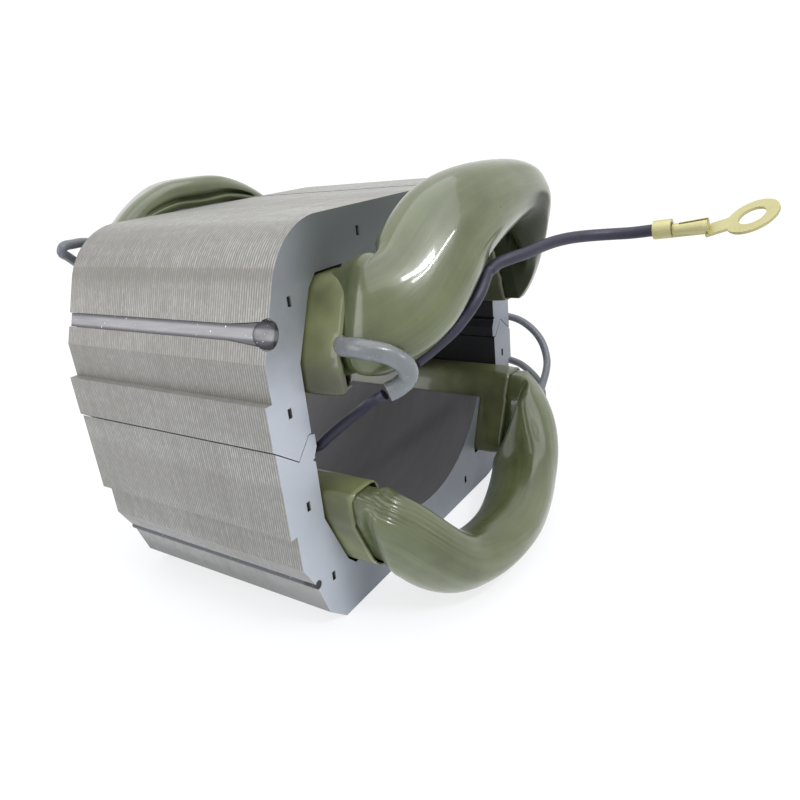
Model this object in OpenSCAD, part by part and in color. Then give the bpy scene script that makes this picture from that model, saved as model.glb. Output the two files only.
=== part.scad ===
// Wound two-pole stator of a small universal motor.
// Millimetres. Origin on the bore axis at mid-stack, +Y to the rear, +Z up.

/* [Lamination stack] */
// Length of the stack along the bore
stack_len = 50; // [30:1:90]
// Height over the top and bottom flats
core_h = 71.4; // [70:0.2:76]
// Width over the plain side faces
core_w = 85; // [83:0.5:90]
// Radius of the rounded corners above the wide seams
corner_r = 13; // [10:0.5:16]
// Radius of the armature bore
bore_r = 27.75; // [26.5:0.05:28.5]
// Angle of the pole tips above the horizontal
pole_tip_angle = 29; // [26:1:32]
// Thickness of the side yokes
yoke_t = 7.6; // [6.8:0.1:8.4]
// Thickness of the yoke above a slot
yoke_top = 8.8; // [8:0.1:9.6]
// Half width of the pole neck
neck_half = 21.2; // [20:0.1:22]
// Thickness of a pole horn at its tip
horn_tip_t = 1.4; // [1:0.1:2]
// Thickness of a pole horn at its root
horn_root_t = 4.6; // [4:0.1:5]
// Least height of the pole neck inside a slot
neck_land = 2.2; // [1.8:0.1:2.4]
// Height at which the slot wall starts to slant
slot_wall_z = 14; // [11:0.5:17]
// Slant of the upper slot wall from the vertical, in degrees
slot_slant = 23; // [18:1:27]
// Chamfer at the outer corner of a slot
slot_chamfer = 2; // [1:0.1:3]

/* [Joint of the two halves] */
// How far the tongue side pad stands out of the side face
tongue_pad = 1.5; // [0.5:0.1:2.5]
// Height of the tongue side pad above the bore axis
tongue_pad_z = 9.9; // [7:0.1:13]
// How far the groove side pad stands out of the side face
groove_pad = 1.1; // [0.4:0.1:2]
// Height of the groove side pad above the bore axis
groove_pad_z = 13.5; // [10:0.1:17]
// Distance of the tongue's tip from the side face
tongue_in = 3.7; // [3:0.1:4.4]
// Drop of the tongue's tip below the bore axis
tongue_tip = 1.3; // [0.6:0.1:2]
// Height of the joint at the pad's face
joint_outer_z = 2.5; // [2:0.1:4]
// Height of the joint at its inner end
joint_inner_z = 2.1; // [1.6:0.1:3]
// Distance of the joint's inner end from the slot wall
joint_inner_in = 0.7; // [0.3:0.1:1.2]
// Gap between the two halves, measured upright
joint_gap = 0.2; // [0.1:0.05:0.4]
// How far the inner lip stands into the window
lip_in = 0.8; // [0.4:0.1:1.4]
// Height of the inner lip above the bore axis
lip_z = 2; // [1.6:0.1:2.6]
// Bevel of the inner lip's top corner
lip_bevel = 1.4; // [0.8:0.1:1.6]
// Rise of the inner lip's lower edge
lip_rise = 0.5; // [0.2:0.1:0.8]
// Depth of the relief notch behind the lip
relief_in = 0.6; // [0.3:0.1:1]

/* [Marks] */
// Width of an interlock dimple
dimple_w = 0.9; // [0.5:0.1:1.4]
// Height of an interlock dimple
dimple_h = 1.7; // [1:0.1:2.5]
// Depth of an interlock dimple
dimple_deep = 0.4; // [0.2:0.1:0.8]
// Place of the long groove in the flat, from the middle
flat_groove_x = 14; // [8:0.5:20]
// Width of the long groove in the flat
flat_groove_w = 0.9; // [0.5:0.1:2]
// Depth of the long groove in the flat
flat_groove_deep = 0.4; // [0.2:0.1:0.8]

/* [Corners and weld seams] */
// Facing of the wide seam's flat above the horizontal, in degrees
seam_flat_angle = 20.4; // [19.6:0.2:21.2]
// Height where the side face meets the wide seam's flat
flat_start_z = 16.1; // [14.5:0.1:17.5]
// Place of the wide seam along its flat
wide_seam_up = 4.8; // [4.2:0.1:5.4]
// Width of the wide seam
wide_seam_w = 2.5; // [2:0.1:3]
// Width of the wide seam where it flares into the crater
flare_w = 3.9; // [3.2:0.1:4.4]
// Length of the flare
flare_len = 8; // [5:0.5:12]
// How far the wide seam lies below its flat
seam_sink = 0.4; // [0.2:0.05:0.6]
// Depth of the wide seam's root below its flat
seam_deep = 1.4; // [1:0.1:1.8]
// Radius of the crater at the wide seam's front end
crater_r = 2.4; // [2.3:0.05:2.8]
// Distance of the crater's floor from the front edge
crater_floor = 1; // [0.7:0.1:1.3]
// How much nearer the plain side of the narrow seam lies
narrow_side_in = 0.4; // [0:0.1:0.8]
// Height where the side ends below the narrow seam
side_end_z = 20.2; // [19:0.1:21]
// Place of the narrow seam across
narrow_seam_x = 39.4; // [39:0.1:39.8]
// Place of the narrow seam in height
narrow_seam_z = 25.1; // [24.6:0.1:25.6]
// Radius of the narrow seam's bead
narrow_seam_r = 0.8; // [0.5:0.1:1.1]
// Depth of the bead's middle below the notch
narrow_seam_in = 0.4; // [0.2:0.05:0.6]
// Place of the corner past the narrow seam, across
lobe_x = 37.2; // [36.8:0.1:37.8]
// Drop of the corner past the narrow seam below the flat
lobe_drop = 3.7; // [3.1:0.1:4.3]
// Half width of the flat on the narrow seam's side
lobe_flat = 33; // [32:0.1:34]
// Clearance of a seam in its notch
seam_fit = 0.05; // [0.02:0.01:0.1]

/* [Slot liners] */
// Thickness of the liner film
liner_t = 0.55; // [0.3:0.05:0.8]
// How far a liner stands out of the front of the stack
liner_front = 6.5; // [4:0.5:9]
// How far a liner stands out of the rear of the stack
liner_rear = 3; // [2:0.5:6]
// Height of a liner's inner end from the bore's middle plane
liner_low = 8; // [6:0.5:10]
// Distance of a liner's bore side from the bore
liner_bore_gap = 0.9; // [0.7:0.1:1.4]
// Clearance of a liner in its slot
liner_fit = 0.15; // [0.05:0.05:0.3]

/* [Coils] */
// Clearance of a coil side in its liner
coil_fit = 0.3; // [0.1:0.05:0.6]
// Straight length of a coil side past its liner at the front
front_straight = 2.5; // [2.2:0.1:3]
// Straight length of a coil side past its liner at the rear
rear_straight = 1.4; // [1.2:0.1:1.8]
// Reach of the upper front end turn past the liner
upper_front_out = 9; // [8.6:0.1:9.6]
// Rise of the upper front end turn above the slot's middle
upper_front_up = 15.5; // [14.8:0.1:16]
// Width of the upper front end turn
upper_front_w = 13; // [12.4:0.1:13.4]
// Thickness of the upper front end turn
upper_front_t = 12.6; // [11.8:0.1:12.8]
// Reach of the lower front end turn past the liner
lower_front_out = 11.6; // [11.2:0.1:12]
// Drop of the lower front end turn below the slot's middle
lower_front_up = 11.6; // [11:0.1:11.8]
// Width of the lower front end turn
lower_front_w = 14.4; // [13.8:0.1:14.8]
// Thickness of the lower front end turn
lower_front_t = 11; // [10.4:0.1:11.2]
// Reach of the upper rear end turn past the liner
upper_rear_out = 6.4; // [6:0.1:7]
// Rise of the upper rear end turn above the slot's middle
upper_rear_up = 20.3; // [20:0.1:20.8]
// Width of the upper rear end turn
upper_rear_w = 14; // [13.2:0.1:14.4]
// Thickness of the upper rear end turn
upper_rear_t = 8.4; // [8:0.1:8.8]
// Reach of the lower rear end turn past the liner
lower_rear_out = 9; // [8.4:0.1:9.6]
// Drop of the lower rear end turn below the slot's middle
lower_rear_up = 14.3; // [14.2:0.02:14.36]
// Width of the lower rear end turn
lower_rear_w = 17; // [16:0.1:17.2]
// Thickness of the lower rear end turn
lower_rear_t = 6.9; // [6.6:0.1:7]

/* [Leads] */
// Diameter of the ring lead
ring_lead_d = 2.1; // [1.6:0.1:2.6]
// Diameter of the loop leads
loop_lead_d = 1.8; // [1.4:0.1:2.2]
// Diameter of the jumper sleeve
sleeve_d = 3; // [2.6:0.1:3.6]

/* [Ring terminal] */
// Outside diameter of the ring
ring_od = 8.2; // [7:0.1:10]
// Hole of the ring
ring_hole_d = 4.3; // [3.2:0.1:5.3]
// Thickness of the terminal's sheet
ring_t = 0.5; // [0.4:0.1:0.7]
// Width of the neck between the ring and the crimp
neck_w = 3.2; // [2.6:0.1:4]
// Distance from the ring's middle to the conductor crimp
ring_neck = 7; // [5.5:0.1:9]
// Bend of the ring up from the crimps, in degrees
ring_bend = 14; // [0:1:25]
// Turn of the terminal about its lead, in degrees
terminal_turn = 26; // [0:1:45]
// Length of the conductor crimp
crimp_len = 4.5; // [3:0.1:6]
// Radius of the conductor crimp at the ring
crimp_r = 1.3; // [1.1:0.05:1.5]
// Radius of the conductor crimp at the lead
crimp_tip_r = 0.95; // [0.85:0.05:1.05]
// Width of the groove along the conductor crimp
crimp_groove = 0.5; // [0.3:0.1:0.7]
// Length of the insulation crimp
grip_len = 3; // [2:0.1:3.6]
// Space between the two crimps
crimp_space = 1.2; // [0.8:0.1:1.8]
// Clearance of the lead in the crimps
grip_fit = 0.05; // [0.02:0.01:0.1]

/* [Hidden] */
$fn = 96;

// Half sizes of the stack and the place of the slot walls
half_len = stack_len / 2;
half_w = core_w / 2;
half_h = core_h / 2;
wall_x = half_w - yoke_t;
slot_top = half_h - yoke_top;
front_end = half_len + liner_front;
rear_end = half_len + liner_rear;

// Distance of the wide seam's flat from the bore axis, and the rounded corner that follows it
seam_facing = [-cos(seam_flat_angle), sin(seam_flat_angle)];
seam_flat_r = seam_facing * [-half_w, flat_start_z];
corner_z = half_h - corner_r;
corner_mid = [(corner_r + corner_z * seam_facing[1] - seam_flat_r) / -seam_facing[0], corner_z];

// Corner points of the slot in the upper right quarter, and how far its window runs on into the bore
window_past = 2;
horn_root_full = sqrt(pow(bore_r + horn_root_t, 2) - pow(neck_half, 2));
horn_root_z = min(horn_root_full, slot_top - neck_land);
slant_x = wall_x - (slot_top - slot_wall_z) * tan(slot_slant);
slot_inner_top = [neck_half, slot_top];
slot_corner_top = [slant_x - slot_chamfer * (1 - tan(slot_slant)), slot_top];
slot_corner_side = [slant_x + slot_chamfer * tan(slot_slant), slot_top - slot_chamfer];
slot_wall_top = [wall_x, slot_wall_z];
horn_tip_back = (bore_r + horn_tip_t) * [cos(pole_tip_angle), sin(pole_tip_angle)];
horn_tip_in = (bore_r - window_past) * [cos(pole_tip_angle), sin(pole_tip_angle)];
horn_root = [neck_half, horn_root_z];
liner_low_wall = [wall_x, liner_low];
liner_low_bore = [sqrt(pow(bore_r + liner_bore_gap, 2) - pow(liner_low, 2)), liner_low];

slot_cell = [slot_inner_top, slot_corner_top, slot_corner_side, slot_wall_top,
    liner_low_wall, liner_low_bore, horn_tip_back, horn_root];
window_upper = [horn_tip_in, horn_tip_back, horn_root,
    slot_inner_top, slot_corner_top, slot_corner_side, slot_wall_top];
window_right = concat(window_upper,
    [for (i = [len(window_upper) - 1:-1:0]) [window_upper[i][0], -window_upper[i][1]]]);

// Middle, lean and room of a coil side inside its liner
liner_wall = liner_fit + liner_t + coil_fit;
side_top = (slot_inner_top + slot_corner_top) / 2;
side_low = (liner_low_wall + liner_low_bore) / 2;
side_mid = (side_top + side_low) / 2;
side_dir = (side_top - side_low) / norm(side_top - side_low);
side_out = [side_dir[1], -side_dir[0]];
cell_walls = [for (i = [0:len(slot_cell) - 1])
    let (p = slot_cell[i], q = slot_cell[(i + 1) % len(slot_cell)],
        facing = [p[1] - q[1], q[0] - p[0]] / norm(q - p))
    [facing, (p - side_mid) * facing - liner_wall]];
cell_round = 9;

// Joint line of the upper half at the left, from the outside to the middle
joint_pad = [-half_w - tongue_pad, joint_outer_z];
joint_tip = [tongue_in - half_w, -tongue_tip];
joint_inner = [-wall_x - joint_inner_in, joint_inner_z];
joint_end = [-bore_r / 2, joint_inner_z];
joint_left = [2 * joint_pad - joint_tip, joint_tip, joint_inner, joint_end];
joint_right = [for (i = [len(joint_left) - 1:-1:0]) [0, joint_gap] - joint_left[i]];

// Interlock dimples of the upper half, in the face of the stack
dimples = [[7.3 - half_w, half_h - 11.8], [3.5 - half_w, 7.1], [-15.7, half_h - 4.4],
    [half_w - 4.2, 9.8], [half_w - 7.7, half_h - 10]];

// Vectors
function unit(v) = v / norm(v);
function spow(v, e) = sign(v) * pow(abs(v), e);
function curve(p, i, t) =
    let (n = len(p) - 1, a = p[max(i - 1, 0)], b = p[i], c = p[i + 1], d = p[min(i + 2, n)])
    (2 * b + (c - a) * t + (2 * a - 5 * b + 4 * c - d) * t * t
        + (3 * b - a - 3 * c + d) * t * t * t) / 2;
function smooth(p, steps) =
    concat([for (i = [0:len(p) - 2], s = [0:steps - 1]) curve(p, i, s / steps)], [p[len(p) - 1]]);

// Outline moved inwards by a distance, its points running clockwise
function inset(p, d) =
    let (n = len(p))
    [for (i = [0:n - 1])
        let (u = unit(p[i] - p[(i + n - 1) % n]), v = unit(p[(i + 1) % n] - p[i]),
            a = [u[1], -u[0]], b = [v[1], -v[0]])
        p[i] + d * (a + b) / (1 + a * b)];

// Distance from a coil side's middle to its rounded outline in one direction
function slot_reach(dir) =
    let (parts = [for (c = cell_walls) pow(max(0, c[0] * dir) / c[1], cell_round)])
    pow(parts * [for (v = parts) 1], -1 / cell_round);

// Skin over a list of rings that all have the same number of points
module skin(rings, closed = false) {
    n = len(rings);
    s = len(rings[0]);
    last = closed ? n - 1 : n - 2;
    sides = [for (i = [0:last], k = [0:s - 1], h = [0, 1])
        let (a = i * s, b = ((i + 1) % n) * s, q = (k + 1) % s)
        h == 0 ? [a + k, b + k, b + q] : [a + k, b + q, a + q]];
    ends = closed ? [] : [[for (k = [0:s - 1]) k], [for (k = [s - 1:-1:0]) (n - 1) * s + k]];
    polyhedron(points = [for (r = rings) each r], faces = concat(sides, ends));
}

// Round tube along a path
module tube(path, d, sides = 8, up = [0.35, 0.2, 1]) {
    n = len(path) - 1;
    skin([for (i = [0:n])
        let (t = unit(path[min(i + 1, n)] - path[max(i - 1, 0)]), u = unit(cross(t, up)), v = cross(t, u))
        [for (k = [0:sides - 1]) path[i] + d / 2 * (cos(360 * k / sides) * u + sin(360 * k / sides) * v)]]);
}

// Prism along the bore from an outline in the XZ plane
module along_bore(length) {
    rotate([90, 0, 0]) linear_extrude(length, center = true) children();
}

// Lamination stack
module outline_2d() {
    difference() {
        translate([-half_w, -half_h]) square([half_w, core_h]);
        mirror([1, 0]) rotate(seam_flat_angle) translate([seam_flat_r, 0]) square(core_h);
        difference() {
            polygon([corner_mid, corner_mid + [0, core_h], corner_mid + core_h * seam_facing]);
            translate(corner_mid) circle(corner_r);
        }
    }
    polygon([[0, -half_h], [0, half_h], [lobe_flat, half_h], [lobe_x, half_h - lobe_drop],
        [narrow_seam_x, narrow_seam_z], [half_w - narrow_side_in, side_end_z],
        [half_w - narrow_side_in, -half_h]]);
    translate([-half_w - tongue_pad, -yoke_t])
        square([tongue_pad + yoke_t / 2, yoke_t + tongue_pad_z]);
    translate([half_w - yoke_t / 2, -yoke_t])
        square([groove_pad + yoke_t / 2, yoke_t + groove_pad_z]);
}

module lip_2d() {
    polygon([[wall_x + lip_in, -joint_inner_z], [wall_x - lip_in, lip_rise - joint_inner_z],
        [wall_x - lip_in, lip_z - lip_bevel], [wall_x, lip_z], [wall_x + lip_in, lip_z]]);
}

module relief_2d() {
    polygon([[wall_x - lip_in, lip_z], [wall_x + relief_in, lip_z + relief_in],
        [wall_x - lip_in, lip_z + 3 * relief_in]]);
}

module half_lamination_2d() {
    intersection() {
        polygon(concat(joint_left, joint_right, [[core_w, core_h], [-core_w, core_h]]));
        difference() {
            union() {
                difference() {
                    outline_2d();
                    polygon(window_right);
                    mirror([1, 0]) polygon(window_right);
                }
                lip_2d();
            }
            circle(bore_r);
            relief_2d();
            translate([flat_groove_x, half_h])
                square([flat_groove_w, 2 * flat_groove_deep], center = true);
        }
    }
}

// Wide seam, drawn with its flat facing +X and the flat's front edge at the origin
module at_wide_seam() {
    mirror([1, 0, 0]) rotate([0, -seam_flat_angle, 0]) translate([seam_flat_r, -half_len, wide_seam_up])
        children();
}

module wide_seam_body(grow = 0, top = 0) {
    half = wide_seam_w / 2 + grow;
    wide = flare_w / 2 + grow;
    rotate([90, 0, 90]) translate([0, 0, -seam_deep - grow]) linear_extrude(seam_deep + 2 * grow - top)
        polygon([[stack_len, -half], [stack_len, half], [flare_len, half], [0, wide], [0, -wide],
            [flare_len, -half]]);
    sphere(crater_r + grow);
}

module narrow_seam_rod(grow = 0) {
    place = [narrow_seam_x, narrow_seam_z];
    middle = place * (1 - narrow_seam_in / norm(place));
    translate([middle[0], 0, middle[1]]) rotate([90, 0, 0])
        cylinder(h = stack_len + 2 * grow, r = narrow_seam_r + grow, center = true);
}

module core_half() {
    difference() {
        along_bore(stack_len) half_lamination_2d();
        at_wide_seam() wide_seam_body(seam_fit);
        narrow_seam_rod(seam_fit);
        for (p = dimples, y = [-half_len, half_len])
            translate([p[0], y, p[1]]) cube([dimple_w, 2 * dimple_deep, dimple_h], center = true);
    }
}

module core_upper() {
    color([0.62, 0.62, 0.64]) core_half();
}

module core_lower() {
    color([0.6, 0.6, 0.62]) rotate([0, 180, 0]) core_half();
}

// Weld seams
module wide_seam() {
    color([0.3, 0.32, 0.36]) at_wide_seam() intersection() {
        wide_seam_body(0, seam_sink);
        rotate([0, 0, 135]) translate([crater_floor, -2 * stack_len, -stack_len]) cube(3 * stack_len);
        translate([-stack_len, 0, -stack_len]) cube(2 * stack_len);
    }
}

module narrow_seam() {
    color([0.4, 0.41, 0.44]) narrow_seam_rod();
}

module weld_upper_left() {
    wide_seam();
}

module weld_upper_right() {
    narrow_seam();
}

module weld_lower_right() {
    rotate([0, 180, 0]) wide_seam();
}

module weld_lower_left() {
    rotate([0, 180, 0]) narrow_seam();
}

// Slot liners
module liner(left, lower) {
    color([0.36, 0.38, 0.2]) mirror([left, 0, 0]) mirror([0, 0, lower])
        translate([0, (liner_rear - liner_front) / 2, 0])
        along_bore(front_end + rear_end) difference() {
            polygon(inset(slot_cell, liner_fit));
            polygon(inset(slot_cell, liner_fit + liner_t));
        }
}

module liner_upper_left() {
    liner(1, 0);
}

module liner_upper_right() {
    liner(0, 0);
}

module liner_lower_left() {
    liner(1, 1);
}

module liner_lower_right() {
    liner(0, 1);
}

// Coils
// One station of an end turn: place across as a share of the slot's distance, reach past the liner,
// rise, sideways lean, backward lean, half width, half thickness, squareness,
// share of the slot's outline, share by which the section turns with the path
side_lean = side_dir[0] / side_dir[1];
side_half = slot_reach(side_dir);
side_thick = (slot_reach(side_out) + slot_reach(-side_out)) / 2;
function side_station(s, out) = [s, out, 0, s * side_lean, 0, side_half, side_thick, 3, 1, 0];

function upper_front(out, up, w, t) = [
    side_station(-1, front_straight),
    [-0.99, 0.55 * out, 0.18 * up, 0.36, 0.2, 1.38 * w, 0.78 * t, 2.8, 0, 0.3],
    [-0.78, 0.79 * out, 0.37 * up, 0.3, 0.4, 1.37 * w, 0.95 * t, 2.3, 0, 0.7],
    [-0.38, 0.87 * out, 0.85 * up, 0.15, 0.7, 1.31 * w, t, 2.2, 0, 1],
    [0.15, 0.96 * out, 1.02 * up, 0, 0.6, w, t, 2.2, 0, 1],
    [0.62, 0.9 * out, 0.95 * up, -0.2, 0.3, 0.74 * w, 0.97 * t, 2.3, 0, 0.8],
    [0.99, 0.62 * out, 0.38 * up, -0.35, 0.1, 0.86 * w, 0.8 * t, 2.6, 0, 0.3],
    side_station(1, front_straight)];

function lower_front(out, up, w, t) = [
    side_station(-1, front_straight),
    [-0.97, 0.41 * out, 0.3 * up, 0.35, 0.1, 1.08 * w, 0.86 * t, 2.6, 0, 0.3],
    [-0.66, 0.84 * out, 0.94 * up, 0.2, 1.5, 0.93 * w, t, 2.3, 0, 1],
    [-0.05, out, 1.04 * up, 0, 3, w, 0.96 * t, 2.2, 0, 1],
    [0.57, 0.7 * out, 0.8 * up, -0.2, 1.5, 1.08 * w, t, 2.3, 0, 1],
    [0.94, 0.37 * out, 0.18 * up, -0.35, 0, 1.18 * w, 1.15 * t, 2.6, 0, 0.3],
    side_station(1, front_straight)];

function both_sides(half) = concat(half,
    [for (i = [len(half) - 2:-1:0]) let (s = half[i])
        [-s[0], s[1], s[2], -s[3], s[4], s[5], s[6], s[7], s[8], s[9]]]);

function upper_rear(out, up, w, t) = both_sides([
    side_station(-1, rear_straight),
    [-0.97, 0.45 * out, 0.152 * up, 0.38, 0, 1.14 * w, 0.86 * t, 2.6, 0, 0.2],
    [-0.7, 0.75 * out, 0.675 * up, 0.45, 0.8, 0.9 * w, 0.86 * t, 2.4, 0, 0.7],
    [-0.31, 0.95 * out, 0.95 * up, 0.1, 4, 0.95 * w, 0.98 * t, 2.6, 0, 1],
    [0, out, up, 0, 12, w, t, 2.8, 0, 1]]);

function lower_rear(out, up, w, t) = both_sides([
    side_station(-1, rear_straight),
    [-0.985, 0.35 * out, 0.16 * up, 0.35, 0, 0.9 * w, 1.1 * t, 2.6, 0, 0.2],
    [-0.78, 0.7 * out, 0.7 * up, 0.2, 1.5, 0.74 * w, 1.12 * t, 2.4, 0, 0.8],
    [-0.42, 0.95 * out, 0.95 * up, 0, 8, 0.88 * w, 1.03 * t, 2.6, 0, 1],
    [0, out, up, 0, 30, w, t, 2.8, 0, 1]]);

coil_sides = 24;
turn_steps = 5;

function coil_middle(s, front) =
    [s[0] * side_mid[0], front ? -front_end - s[1] : rear_end + s[1], side_mid[1] + s[2]];
function coil_spot(s, a) =
    let (q = max(0, min(1, s[8])), r = slot_reach(cos(a) * side_dir + sin(a) * side_out))
    q * r * [cos(a), sin(a)]
        + (1 - q) * [s[5] * spow(cos(a), 2 / s[7]), s[6] * spow(sin(a), 2 / s[7])];
function coil_rings(front, rear) =
    let (f = smooth(front, turn_steps), b = smooth(rear, turn_steps), m = len(b) - 1,
        st = concat(f, [for (i = [m:-1:0]) b[i]]),
        mid = concat([for (s = f) coil_middle(s, true)], [for (i = [m:-1:0]) coil_middle(b[i], false)]),
        n = len(mid))
    [for (i = [0:n - 1])
        let (s = st[i], run = unit(mid[(i + 1) % n] - mid[(i + n - 1) % n]),
            t = unit((1 - s[9]) * [0, sign(run[1]), 0] + s[9] * run),
            w0 = [s[3], (i < len(f) ? 1 : -1) * s[4], 1], w = unit(w0 - (w0 * t) * t), v = cross(t, w))
        [for (k = [0:coil_sides - 1])
            let (p = coil_spot(s, 360 * k / coil_sides))
            mid[i] + p[0] * w + p[1] * v]];

module coil_upper() {
    color([0.42, 0.45, 0.24]) skin(coil_rings(
        upper_front(upper_front_out, upper_front_up, upper_front_w / 2, upper_front_t / 2),
        upper_rear(upper_rear_out, upper_rear_up, upper_rear_w / 2, upper_rear_t / 2)), true);
}

module coil_lower() {
    color([0.42, 0.45, 0.24]) mirror([0, 0, 1]) skin(coil_rings(
        lower_front(lower_front_out, lower_front_up, lower_front_w / 2, lower_front_t / 2),
        lower_rear(lower_rear_out, lower_rear_up, lower_rear_w / 2, lower_rear_t / 2)), true);
}

// Leads, along routes chosen by hand that start from the ends of the liners
function from_front(route) = [for (p = route) p - [0, front_end, 0]];
function from_rear(route) = [for (p = route) p + [0, rear_end, 0]];

bound_route = [[-24.2, -8, 12], [-22.3, -8.9, 12.8], [-20.4, -9.9, 13.8], [-18.8, -10.9, 14.8],
    [-17.4, -11.9, 16], [-16, -12.7, 17.3], [-14.8, -13.5, 18.7], [-13.4, -14, 20.1],
    [-11.6, -14.1, 21.5], [-9.1, -13.7, 22.9]];
ring_route = [[-8.4, -13.9, 23.2], [-6.2, -14.4, 23.9], [-3.4, -15.7, 24.3], [0, -17, 24.5],
    [4, -17.9, 24.8], [8, -19.1, 25], [11.5, -20.8, 25], [14.6, -23, 24.8], [17, -26, 24.6],
    [18, -29.5, 24.6], [18, -33.5, 25], [18, -36.3, 25.28]];
sleeve_route = [[-34.2, -2.2, 17.1], [-35.2, -5, 17.5], [-35.2, -7.3, 17.3], [-34.2, -9, 16.7],
    [-33.1, -10.2, 15.7], [-32.5, -11.2, 14.7], [-32, -11.5, 13.5], [-31.7, -11, 12.1],
    [-32.5, -9.8, 11], [-33.6, -8.6, 10.4]];
jumper_route = [[-33.9, -8.2, 10.1], [-34, -7.6, 9.7], [-33.5, -6.3, 9], [-32.5, -4.3, 7.8],
    [-31.6, -1.9, 6], [-31.3, 0.7, 4.1], [-31.7, 3, 2.3], [-32.2, 5.3, 0.4], [-32.6, 7.5, -1.4],
    [-33.2, 11.5, -3], [-33.9, 16.5, -4.3], [-33.9, 22.5, -4.5]];
side_route = [[34.1, -4.7, -14.5], [37, -4.5, -14], [43, -3.5, -10], [46, -0.5, -5], [46.5, 4.5, -1],
    [46.5, 10.5, 0], [46.5, 15.5, -2], [46.5, 17.5, -5.5], [46.5, 15.5, -9], [46.5, 10.5, -11],
    [46, 4.5, -12.5], [42, -1.5, -15], [37, -4.5, -17], [33.6, -4.7, -17.4]];
rear_route = [[-28, 4.6, 26.8], [-30.3, 4.3, 27.9], [-32.2, 3.3, 28.8], [-33.8, 2, 29.8],
    [-35.6, 0.9, 31], [-37, 0, 31.9], [-36.4, -0.2, 33], [-34, 0.6, 33], [-31, 2, 32.8],
    [-28, 2.8, 32.2], [-25.5, 3, 31.3]];

module bound_lead() {
    color([0.2, 0.21, 0.26]) tube(smooth(from_front(bound_route), 2), ring_lead_d);
}

module ring_lead() {
    color([0.12, 0.12, 0.16]) tube(from_front(ring_route), ring_lead_d);
}

module jumper_sleeve() {
    color([0.5, 0.52, 0.52]) tube(smooth(from_front(sleeve_route), 2), sleeve_d, 10);
}

module jumper_lead() {
    color([0.1, 0.1, 0.13]) tube(smooth(from_front(jumper_route), 2), loop_lead_d);
}

module side_loop_lead() {
    color([0.25, 0.26, 0.28]) tube(smooth(from_front(side_route), 2), loop_lead_d, 8, [1, 0.2, 0.1]);
}

module rear_loop_lead() {
    color([0.35, 0.37, 0.38]) tube(smooth(from_rear(rear_route), 2), loop_lead_d);
}

// Ring terminal, drawn with the lead coming in along +X and ending at the origin
lead_last = len(ring_route) - 1;
lead_end = from_front(ring_route)[lead_last];
lead_run = unit(ring_route[lead_last] - ring_route[lead_last - 1]);
lead_pan = atan2(lead_run[1], lead_run[0]);
lead_tilt = -asin(lead_run[2]);

module ring_terminal() {
    grip_r = ring_lead_d / 2 + grip_fit;
    grip_out = grip_r + ring_t;
    crimp_end = crimp_space + crimp_len;
    color([0.82, 0.72, 0.38]) translate(lead_end) rotate([0, lead_tilt, lead_pan])
    rotate([terminal_turn, 0, 0]) {
        translate([-grip_len, 0, 0]) rotate([0, 90, 0]) difference() {
            cylinder(h = grip_len, r = grip_out);
            translate([0, 0, -grip_out]) cylinder(h = grip_len + 2 * grip_out, r = grip_r);
        }
        difference() {
            translate([grip_fit, 0, crimp_r - grip_out]) rotate([0, 90, 0])
                cylinder(h = crimp_end, r1 = crimp_tip_r, r2 = crimp_r);
            translate([crimp_end, 0, 2 * crimp_r - grip_out])
                cube([2 * crimp_len, crimp_groove, crimp_r], center = true);
        }
        translate([0, 0, -grip_out]) linear_extrude(ring_t)
            polygon([[-grip_len, -grip_r / 2], [-grip_len, grip_r / 2], [crimp_end, crimp_r / 2],
                [crimp_end, -crimp_r / 2]]);
        translate([crimp_end, 0, -grip_out]) rotate([0, -ring_bend, 0]) linear_extrude(ring_t) difference() {
            union() {
                translate([-ring_t / 2, -neck_w / 2]) square([ring_neck + ring_t / 2, neck_w]);
                translate([ring_neck, 0]) circle(ring_od / 2);
            }
            translate([ring_neck, 0]) circle(ring_hole_d / 2);
        }
    }
}

core_upper();
core_lower();
weld_upper_left();
weld_upper_right();
weld_lower_left();
weld_lower_right();
liner_upper_left();
liner_upper_right();
liner_lower_left();
liner_lower_right();
coil_upper();
coil_lower();
bound_lead();
ring_lead();
ring_terminal();
jumper_sleeve();
jumper_lead();
side_loop_lead();
rear_loop_lead();
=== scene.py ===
# Dresses the wound stator for rendering. Lengths in the lists are millimetres, in the row frame.
import math

import bpy
import numpy as np
from mathutils import Matrix, Vector


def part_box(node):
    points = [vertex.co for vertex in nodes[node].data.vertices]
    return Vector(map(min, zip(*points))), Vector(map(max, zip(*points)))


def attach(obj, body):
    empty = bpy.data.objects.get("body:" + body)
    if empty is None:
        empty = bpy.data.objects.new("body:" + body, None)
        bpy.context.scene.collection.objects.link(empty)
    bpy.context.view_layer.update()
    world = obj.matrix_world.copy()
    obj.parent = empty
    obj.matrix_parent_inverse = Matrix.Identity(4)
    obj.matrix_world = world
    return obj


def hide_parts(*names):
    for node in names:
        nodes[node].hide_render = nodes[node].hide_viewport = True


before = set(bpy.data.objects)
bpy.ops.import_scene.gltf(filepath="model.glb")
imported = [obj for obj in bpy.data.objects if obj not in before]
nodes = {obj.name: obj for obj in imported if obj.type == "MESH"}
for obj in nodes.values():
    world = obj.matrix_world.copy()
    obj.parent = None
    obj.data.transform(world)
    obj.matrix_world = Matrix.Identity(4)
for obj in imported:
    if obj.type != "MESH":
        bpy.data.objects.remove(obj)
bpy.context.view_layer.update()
scene = bpy.context.scene

# Sizes of the core that the materials follow
MM = 0.001
SHEET = 0.5 * MM
BORE_R = 27.75 * MM
STACK_HALF = 25 * MM
SEAM_TILT = math.radians(20.4)
SEAM_ACROSS = (math.sin(SEAM_TILT), 0, math.cos(SEAM_TILT))
SEAM_UP = 4.8 * MM
CRATER_Y = -24 * MM
FLOOR_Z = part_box("core_lower")[0][2]

WHITE_LEVEL = 1.05


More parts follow.
